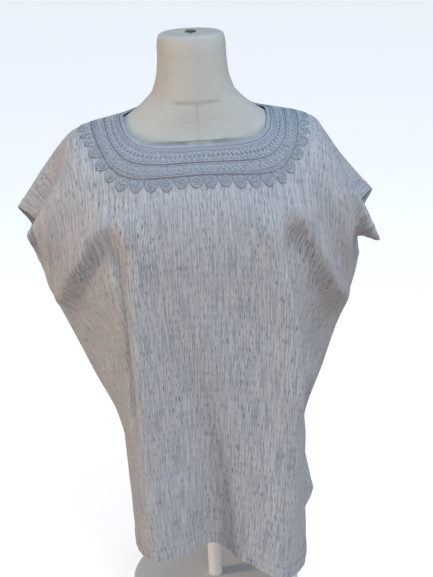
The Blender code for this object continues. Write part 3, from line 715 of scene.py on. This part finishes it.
def follow(name, grow, s):
    """Flat places at a distance, or one distance each, from the neck's cut edge, at values s of the arch."""
    half, depth, power = neck_arch(name, 0.0)
    angle = math.pi * (1 - s)
    c = np.cos(angle)
    u = (half + grow) * np.sign(c) * np.abs(c) ** (2 / power)
    v = (depth + grow) * np.abs(np.sin(angle)) ** (2 / power)
    return u, v


def scallop_places(name):
    """Each scallop's number, its middle on the yoke's band, the ways along and out, and half its width."""
    scallops = SCALLOPS_FRONT if name == "front" else SCALLOPS_BACK
    s = even(*neck_arch(name, YOKE_BAND), 600)
    u, v = follow(name, YOKE_BAND, s)
    run = np.concatenate([[0], np.cumsum(np.hypot(np.diff(u), np.diff(v)))])
    pitch = run[-1] / scallops
    for i in range(scallops):
        at = (i + 0.5) * pitch
        middle = np.array([np.interp(at, run, u), np.interp(at, run, v)])
        after = np.array([np.interp(at + 0.004, run, u), np.interp(at + 0.004, run, v)])
        along = after - middle
        along /= np.linalg.norm(along)
        yield i, middle, along, np.array([-along[1], along[0]]), pitch / 2


def scallop_arcs(name, shares, reach):
    """Half rounds of stitching one inside another, at shares of each scallop's size."""
    arcs = []
    for i, middle, along, out, half in scallop_places(name):
        for share in shares:
            size = share * (1 + 0.05 * math.sin(i * 2.3))
            angle = np.linspace(0, math.pi, max(9, int(24 * share)))[:, None]
            arc = middle - along * half * min(size, 1.0) * np.cos(angle) + out * reach * size * np.sin(angle)
            arcs.append((arc[:, 0], np.maximum(arc[:, 1], 0.0004)))
    return arcs


def ring_lines(name, grows, steps=330):
    """Lines of stitching all along the neck at distances from its cut edge."""
    s = even(*neck_arch(name, YOKE_LINE_PLACE), steps)
    return [follow(name, grow, s) for grow in grows]


def zigzag_lines(name, rows, steps=640):
    """Slanted back-and-forth stitching: middle, swing and teeth per scallop, with its start shifted."""
    s = even(*neck_arch(name, YOKE_LINE_PLACE), steps)
    scallops = SCALLOPS_FRONT if name == "front" else SCALLOPS_BACK
    paths = []
    for middle, swing, teeth, shift in rows:
        phase = np.linspace(0, scallops * teeth, steps + 1) + shift
        tooth = 4 * np.abs(phase - np.floor(phase) - 0.5) - 1
        paths.append(follow(name, middle + swing * tooth, s))
    return paths


def stitch_row(name, grow, pitch, length):
    """Short stitches on a line beside the neck."""
    s = even(*neck_arch(name, grow), 400)
    u, v = follow(name, np.full(len(s), grow), s)
    run = np.concatenate([[0], np.cumsum(np.hypot(np.diff(u), np.diff(v)))])
    paths = []
    at = pitch / 2
    while at + length < run[-1]:
        t = np.linspace(at, at + length, 4)
        paths.append((np.interp(t, run, u), np.interp(t, run, v)))
        at += pitch
    return paths


def hem_stitches(name):
    """Running stitches along the cuffs' bands and the bottom band."""
    paths = []
    for inset in (0.004, HEM_DEPTH - 0.002):
        for side in (-1, 1):
            for start in np.arange(0.003, ARM_OPENING - 0.006, HEM_STITCH_PITCH):
                v = np.linspace(start, start + HEM_STITCH, 4)
                paths.append((np.full(4, side * (HALF_WIDTH - inset)), v))
    for start in np.arange(-HALF_WIDTH + 0.004, HALF_WIDTH - 0.008, HEM_STITCH_PITCH):
        u = np.linspace(start, start + HEM_STITCH, 4)
        paths.append((u, np.full(4, LENGTH - HEM_DEPTH + 0.002)))
    return paths


def bulged(value):
    """A sine or cosine pushed out toward a rounded square."""
    return math.copysign(abs(value) ** BINDING_ROUND, value)


def binding_piece(mat):
    """The narrow binding round the whole neck: a soft rolled strip with a slightly uneven edge."""
    points = []
    uv = []
    for start, (name, count) in zip((0.0, 0.5), BINDING_STEPS):
        s = even(*neck_arch(name, 0.0), count)[:-1]
        if name == "back":
            s = 1 - s
        for k in range(BINDING_SIDES):
            a = 2 * math.pi * k / BINDING_SIDES
            c = bulged(math.cos(a))
            w = bulged(math.sin(a))
            grow = (-0.5 + 0.5 * c) * BINDING_WIDTH - SEAM_GAP
            ripple = 1 + BINDING_RIPPLE * np.sin(s * BINDING_RIPPLES) * (w > 0)
            out = w * (BINDING_OUT if w > 0 else BINDING_IN) * ripple
            u, v = follow(name, np.full(len(s), grow), s)
            points.append(cloth_points(name, u, np.maximum(v, 0.00005), out))
            uv.append(np.stack([start + s * 0.5, np.full(len(s), k / BINDING_SIDES)], axis=-1))
    rings = [np.concatenate(pair) for pair in zip(points[:BINDING_SIDES], points[BINDING_SIDES:])]
    places = [np.concatenate(pair) for pair in zip(uv[:BINDING_SIDES], uv[BINDING_SIDES:])]
    faces = loop_faces(BINDING_SIDES, len(rings[0]), closed=True)
    obj = make_piece("neck_edge", np.concatenate(rings), faces, mat, "thread", np.concatenate(places))
    finish_piece(obj, "binding", "neck_binding")
    return obj


def cover_cap(angle):
    """Rings of the cover's gathered cap, from the disc outward, and how brown each point is: painted shade in
    the valleys of the gathers.
    """
    gather = np.sin(angle * PUCKERS + np.sin(angle * 3) * 1.4)
    rings = []
    tints = []
    for r in np.linspace(DISC_HOLE, CAP_RADIUS, CAP_RINGS + 1)[:-1]:
        share = (r - DISC_HOLE) / (CAP_RADIUS - DISC_HOLE)
        lift = PUCKER_HEIGHT * (1 - share) ** 1.5 * gather - CAP_DIP * (1 - share) ** 2
        # painted shade: the valleys of the gathers are browned, less so away from the disc
        pleat_shade = np.clip(-gather - 0.30, 0, 0.5) * 2
        tints.append(pleat_shade * np.clip(1.1 - share * (1.6 + 0.5 * np.sin(angle * 5)), 0, 1))
        z = CAP_HEIGHT + np.minimum(lift, 0.0)
        rings.append(np.stack([r * np.cos(angle), r * np.sin(angle), z], axis=-1))
    return rings, tints


def cover_sections():
    """The form's sections with finer ones between them, on smooth curves."""
    table = np.array(FORM_SECTIONS)
    at = []
    for i in range(len(table) - 1):
        share = 3 if table[i + 1, 0] - table[i, 0] < 0.02 else 9
        at += [i + k / share for k in range(share)]
    at.append(len(table) - 1)
    at = np.array(at)
    i, t = interval(np.arange(len(table)).astype(float), at)
    spread = np.repeat(table[:, None, :], len(at), axis=1)
    lead = np.repeat((2 * table[0] - table[1])[None], len(at), 0)
    tail = np.repeat((2 * table[-1] - table[-2])[None], len(at), 0)
    return through(spread, t, i, lead, tail)


def seam_line(off, seam):
    """A soft line `off` metres away, of a strength and half width."""
    strength, half = seam
    return strength * np.exp(-((off / half) ** 2))


def cover_rings(angle):
    """Rings of the cover below its cap, pressed in along the seams, and how brown each point is."""
    c = np.cos(angle)
    s = np.sin(angle)
    rings = []
    tints = []
    for drop, half, front, back, power in cover_sections():
        x = half * np.sign(c) * np.abs(c) ** (2 / power)
        y = np.where(s > 0, back, front) * np.sign(s) * np.abs(s) ** (2 / power)
        seam_drop = NECK_SEAM_DROP + NECK_SEAM_SAG * np.clip(-s, 0, 1) ** 2
        under = drop > seam_drop
        groove = seam_line(drop - seam_drop, NECK_SEAM)
        groove += seam_line((angle - 1.5 * math.pi) * half, MIDDLE_SEAM) * under
        groove += seam_line((angle - 0.5 * math.pi) * half, MIDDLE_SEAM) * under
        if drop > 0.02:
            groove += seam_line(np.minimum(angle, 2 * math.pi - angle) * half, SIDE_SEAM)
            groove += seam_line((angle - math.pi) * half, SIDE_SEAM)
        shrink = 1 - groove / np.maximum(np.hypot(x, y), 0.02)
        tint = seam_line(drop - seam_drop, NECK_SEAM_TINT) * np.clip((-s - 0.80) * 7, 0, 1)
        tint += seam_line((angle - 1.5 * math.pi) * half, MIDDLE_SEAM_TINT) * under
        tints.append(np.clip(tint, 0, 1))
        rings.append(np.stack([x * shrink, y * shrink, np.full(len(angle), CAP_HEIGHT - drop)], axis=-1))
    return rings, tints


def form_piece(mat):
    """The dress form's cover: a fine loft through the form's sections, with its seams and gathered cap."""
    angle = np.linspace(0, 2 * math.pi, COVER_AROUND, endpoint=False)
    cap, cap_pleat_shade = cover_cap(angle)
    body, body_tints = cover_rings(angle)
    rings = cap + body
    total = len(rings) * COVER_AROUND
    faces = loop_faces(len(rings), COVER_AROUND, closed=False)
    faces.append(tuple(range(COVER_AROUND)))
    faces.append(tuple(range(total - 1, total - COVER_AROUND - 1, -1)))
    obj = make_piece("form_cover", np.concatenate(rings), faces, mat)
    obj.data.set_sharp_from_angle(angle=math.radians(55))
    # the cap's part of this attribute is painted shade in its gathers; the rest browns the seams
    mark_points(obj, "seam", cap_pleat_shade + body_tints)
    finish_piece(obj, "form_cover", "form_body")
    return obj


class Nodes:
    """A material's node tree, with short calls for what the finishes here need."""

    def __init__(self, name, rough):
        self.mat = bpy.data.materials.new(name)
        self.mat.use_nodes = True
        self.tree = self.mat.node_tree
        self.shader = self.tree.nodes["Principled BSDF"]
        self.shader.inputs["Roughness"].default_value = rough
        self.shader.inputs["Specular IOR Level"].default_value = 0.25

    def node(self, kind, **values):
        made = self.tree.nodes.new(kind)
        for key, value in values.items():
            setattr(made, key, value)
        return made

    def link(self, source, target):
        if isinstance(source, (int, float)):
            target.default_value = source
        else:
            self.tree.links.new(source, target)

    def math(self, operation, *values):
        made = self.node("ShaderNodeMath", operation=operation)
        for value, slot in zip(values, made.inputs):
            self.link(value, slot)
        return made.outputs[0]

    def uv(self, name, scale):
        source = self.node("ShaderNodeUVMap", uv_map=name).outputs[0]
        return self.scaled(source, scale)

    def object_place(self, scale):
        return self.scaled(self.node("ShaderNodeTexCoord").outputs["Object"], scale)

    def scaled(self, source, scale):
        made = self.node("ShaderNodeMapping")
        made.inputs["Scale"].default_value = scale
        self.link(source, made.inputs["Vector"])
        return made.outputs[0]

    def noise(self, vector, detail=2.0, rough=0.5, scale=1.0):
        made = self.node("ShaderNodeTexNoise")
        made.inputs["Scale"].default_value = scale
        made.inputs["Detail"].default_value = detail
        made.inputs["Roughness"].default_value = rough
        self.link(vector, made.inputs["Vector"])
        return made.outputs["Fac"]

    def mask(self, value, low, high):
        made = self.node("ShaderNodeMapRange")
        made.interpolation_type = "SMOOTHSTEP"
        made.inputs["From Min"].default_value = low
        made.inputs["From Max"].default_value = high
        self.link(value, made.inputs["Value"])
        return made.outputs[0]

    def mix(self, share, one, two):
        made = self.node("ShaderNodeMix", data_type="RGBA")
        self.link(share, made.inputs["Factor"])
        for value, slot in ((one, made.inputs["A"]), (two, made.inputs["B"])):
            if isinstance(value, tuple):
                slot.default_value = (*value, 1.0)
            else:
                self.tree.links.new(value, slot)
        return made.outputs["Result"]

    def color(self, value):
        self.tree.links.new(value, self.shader.inputs["Base Color"])

    def bump(self, height, distance, strength=1.0):
        made = self.node("ShaderNodeBump")
        made.inputs["Distance"].default_value = distance
        made.inputs["Strength"].default_value = strength
        self.link(height, made.inputs["Height"])
        self.tree.links.new(made.outputs[0], self.shader.inputs["Normal"])


def striped_cotton():
    """Pale cotton with short dark flecks along the warp and fine uneven ribs, and painted shade on the yoke's
    ground.
    """
    n = Nodes("striped cotton", 0.92)
    n.shader.inputs["Sheen Weight"].default_value = 0.15
    n.shader.inputs["Sheen Roughness"].default_value = 0.6
    flecks = n.noise(n.uv("cut", FLECKS), 2.0, 0.55)
    dark = n.mask(flecks, 0.55, 0.65)
    strands = n.noise(n.uv("cut", STRANDS), 3.0, 0.6)
    grey = n.mask(strands, 0.42, 0.60)
    cloud = n.noise(n.uv("cut", CLOUDS), 2.0, 0.5)
    dense = n.mask(cloud, 0.30, 0.70)
    share = n.math("MULTIPLY", dark, n.math("MULTIPLY_ADD", dense, 0.55, 0.5))
    ground = n.mix(grey, COTTON_CREAM, COTTON_GREY)
    flecked = n.mix(share, ground, COTTON_DARK)
    # painted shade: the yoke's ground is mixed toward a darker colour, for the shadow between the dense
    # embroidery
    stitched = n.node("ShaderNodeAttribute", attribute_name="stitched").outputs["Fac"]
    n.color(n.mix(n.math("MULTIPLY", stitched, 0.8), flecked, YOKE_PAINTED_SHADE))
    ribs = n.noise(n.uv("cut", RIBS), 3.0, 0.6)
    weft = n.noise(n.uv("cut", WEFT), 1.0, 0.5)
    height = n.math("ADD", ribs, n.math("MULTIPLY", weft, 0.35))
    n.bump(height, 0.0011, 0.8)
    return n.mat


def embroidery_thread(name, pale, deep_and_groove_shade):
    """Six-strand cotton thread, with the twist of its strands as bump and as painted shade in the grooves
    between strands.
    """
    n = Nodes(name, 0.7)
    n.shader.inputs["Sheen Weight"].default_value = 0.2
    twist = n.node("ShaderNodeTexWave", wave_type="BANDS", bands_direction="DIAGONAL")
    twist.inputs["Scale"].default_value = 1.0
    twist.inputs["Distortion"].default_value = 0.6
    n.link(n.uv("thread", (190, 1.0, 1)), twist.inputs["Vector"])
    worn = n.noise(n.object_place((240, 240, 240)), 2.0)
    # painted shade: the thread takes the deeper colour in the twist's grooves, where the bump is low; the
    # worn noise leaves random patches of that colour
    share = n.math("MULTIPLY", twist.outputs["Fac"], n.mask(worn, 0.25, 0.75))
    n.color(n.mix(share, deep_and_groove_shade, pale))
    n.bump(twist.outputs["Fac"], 0.0006, 0.8)
    return n.mat


def bias_binding():
    """Plain woven cotton strip."""
    n = Nodes("bias binding", 0.85)
    weave = n.noise(n.object_place((900, 900, 900)), 1.0)
    tone = n.noise(n.object_place((60, 60, 60)), 2.0)
    n.color(n.mix(n.mask(tone, 0.3, 0.7), BINDING_PALE, tuple(x * 0.86 for x in BINDING_PALE)))
    n.bump(weave, 0.0005, 0.5)
    return n.mat


def form_cover_cloth():
    """Off-white plain-woven cover, with faint soiling."""
    n = Nodes("form cover cloth", 0.88)
    n.shader.inputs["Sheen Weight"].default_value = 0.1
    across = n.noise(n.object_place((900, 900, 60)), 2.0)
    along = n.noise(n.object_place((60, 60, 1100)), 2.0)
    soil = n.noise(n.object_place((16, 16, 9)), 3.0, 0.6)
    tone = n.math("ADD", n.math("MULTIPLY", across, 0.5), n.math("MULTIPLY", along, 0.5))
    share = n.math("MULTIPLY", n.mask(soil, 0.42, 0.72), 0.55)
    cover = n.mix(n.mask(tone, 0.40, 0.60), COVER_LIGHT, tuple(x * 0.93 for x in COVER_LIGHT))
    # brown along the cover's seams, and painted shade in the valleys of the cap's gathers
    seam = n.node("ShaderNodeAttribute", attribute_name="seam").outputs["Fac"]
    n.color(n.mix(n.math("MULTIPLY", seam, 0.55), n.mix(share, cover, COVER_DEEP), SEAM_BROWN_AND_PLEAT_SHADE))
    n.bump(tone, 0.0006, 0.5)
    return n.mat


def plain(name, one, two, rough, size, depth):
    """A finish of two near colours with a fine bump."""
    n = Nodes(name, rough)
    cloud = n.noise(n.object_place((size, size, size)), 3.0)
    n.color(n.mix(n.mask(cloud, 0.35, 0.65), one, two))
    n.bump(cloud, depth, 0.4)
    return n.mat


def give(node, mat):
    """Puts a finish on a solid of the frame that stays in view."""
    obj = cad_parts[node]
    obj.data.materials.clear()
    obj.data.materials.append(mat)


def panel_area(name):
    """Flat area of one panel: its rectangle less the half of the neck hole in it."""
    u, v = arch(*neck_arch(name, 0.0), np.linspace(0, 1, 400))
    hole = float(np.sum((v[1:] + v[:-1]) / 2 * np.diff(u)))
    return 2 * HALF_WIDTH * LENGTH - hole


def area_light(name, place, aim, size, power, color):
    """A flat light at place that faces aim."""
    data = bpy.data.lights.new(name, "AREA")
    data.shape = "RECTANGLE"
    data.size, data.size_y = size
    data.energy = power
    data.color = color
    obj = bpy.data.objects.new(name, data)
    bpy.context.scene.collection.objects.link(obj)
    way = np.array(aim, float) - np.array(place, float)
    back = -way / np.linalg.norm(way)
    right = np.cross((0, 0, 1), back)
    right /= np.linalg.norm(right)
    up = np.cross(back, right)
    obj.matrix_world = Matrix((
        (right[0], up[0], back[0], place[0]), (right[1], up[1], back[1], place[1]),
        (right[2], up[2], back[2], place[2]), (0, 0, 0, 1),
    ))


def make_camera():
    """The camera of the photograph's view."""
    data = bpy.data.cameras.new("camera")
    data.sensor_width = SENSOR
    data.lens = SENSOR * FOCAL_PIXELS / PHOTO_HEIGHT
    obj = bpy.data.objects.new("camera", data)
    bpy.context.scene.collection.objects.link(obj)
    down, turn = CAMERA_DOWN, CAMERA_TURN
    ahead = np.array([-math.sin(turn) * math.cos(down), math.cos(turn) * math.cos(down), -math.sin(down)])
    right = np.array([math.cos(turn), math.sin(turn), 0.0])
    up = np.cross(right, ahead)
    c, s = math.cos(CAMERA_ROLL), math.sin(CAMERA_ROLL)
    x = right * c - up * s
    y = right * s + up * c
    rows = [(x[k], y[k], -ahead[k], CAMERA_PLACE[k]) for k in range(3)]
    obj.matrix_world = Matrix((*rows, (0, 0, 0, 1)))
    bpy.context.scene.camera = obj


def make_floor():
    """A wide pale floor that glows a little and throws no light of its own on the cloth."""
    corners = [(x * FLOOR_REACH, y * FLOOR_REACH, 0) for x, y in ((-1, -1), (1, -1), (1, 1), (-1, 1))]
    mesh = bpy.data.meshes.new("floor")
    mesh.from_pydata(corners, [], [(0, 1, 2, 3)])
    floor = bpy.data.objects.new("floor", mesh)
    bpy.context.scene.collection.objects.link(floor)
    mat = bpy.data.materials.new("pale floor")
    mat.use_nodes = True
    shader = mat.node_tree.nodes["Principled BSDF"]
    shader.inputs["Base Color"].default_value = (0.9, 0.9, 0.9, 1)
    shader.inputs["Roughness"].default_value = 0.9
    shader.inputs["Emission Color"].default_value = (1.0, 1.0, 1.0, 1)
    shader.inputs["Emission Strength"].default_value = FLOOR_GLOW
    mesh.materials.append(mat)
    floor.visible_diffuse = False


def make_world():
    """A soft glow all round, warm below and cool above."""
    world = bpy.data.worlds.new("studio")
    world.use_nodes = True
    tree = world.node_tree
    background = tree.nodes["Background"]
    place = tree.nodes.new("ShaderNodeTexCoord")
    split = tree.nodes.new("ShaderNodeSeparateXYZ")
    height = tree.nodes.new("ShaderNodeMath")
    height.operation = "MULTIPLY_ADD"
    height.inputs[1].default_value = 0.5
    height.inputs[2].default_value = 0.5
    glow = tree.nodes.new("ShaderNodeValToRGB")
    low, high = glow.color_ramp.elements
    low.position = 0.30
    low.color = GROUND_GLOW
    high.position = 0.75
    high.color = SKY_GLOW
    tree.links.new(place.outputs["Generated"], split.inputs[0])
    tree.links.new(split.outputs["Z"], height.inputs[0])
    tree.links.new(height.outputs[0], glow.inputs[0])
    tree.links.new(glow.outputs[0], background.inputs["Color"])
    background.inputs["Strength"].default_value = WORLD_STRENGTH
    bpy.context.scene.world = world


def make_stage():
    """Floor, world and three lights: cool from above right, warm from the left, soft from the front."""
    make_floor()
    make_world()
    for name, place, size, power, color in LIGHTS:
        area_light(name, place, AIM, size, power, color)
    bpy.context.scene.view_settings.view_transform = "Standard"


def yoke_and_hem(name, thread, outline):
    """The panel's threads: bands, scallops, dark lines, scallop outlines and hem stitches."""
    pale = ring_lines(name, PALE_LINES) + zigzag_lines(name, PALE_ZIGZAGS)
    dark = ring_lines(name, DARK_LINES) + zigzag_lines(name, DARK_ZIGZAGS) + stitch_row(name, *NECK_STITCHES)
    pale_arcs = scallop_arcs(name, PALE_ARCS, SCALLOP_REACH)
    dark_arcs = scallop_arcs(name, DARK_ARCS, SCALLOP_REACH + 0.001)
    return [
        threads("yoke_bands_" + name, name, pale, BAND_THREAD, thread),
        threads("yoke_scallops_" + name, name, pale_arcs, SCALLOP_THREAD, thread),
        threads("yoke_lines_" + name, name, dark, LINE_THREAD, outline),
        threads("yoke_outlines_" + name, name, dark_arcs, OUTLINE_THREAD, outline),
        threads("hem_stitches_" + name, name, hem_stitches(name), HEM_THREAD, outline),
    ]


def main():
    cotton = striped_cotton()
    thread = embroidery_thread("embroidery thread", THREAD_PALE, THREAD_DEEP)
    outline = embroidery_thread("outline thread", THREAD_DEEP, LINE_DARK)
    for name in ("front", "back"):
        panel = cloth_panel(name, name + "_panel", cotton)
        stitched = yoke_and_hem(name, thread, outline)
        panel_area(name)
    binding_piece(bias_binding())
    form_piece(form_cover_cloth())
    give("neck_disc", plain("brown disc", (0.10, 0.07, 0.045), (0.16, 0.11, 0.07), 0.5, 900, 0.0004))
    paint = plain("white stand paint", (0.80, 0.80, 0.79), (0.77, 0.77, 0.76), 0.35, 300, 0.0002)
    give("stand_pole", paint)
    give("stand_foot", paint)
    make_camera()
    make_stage()


main()
bpy.context.view_layer.update()
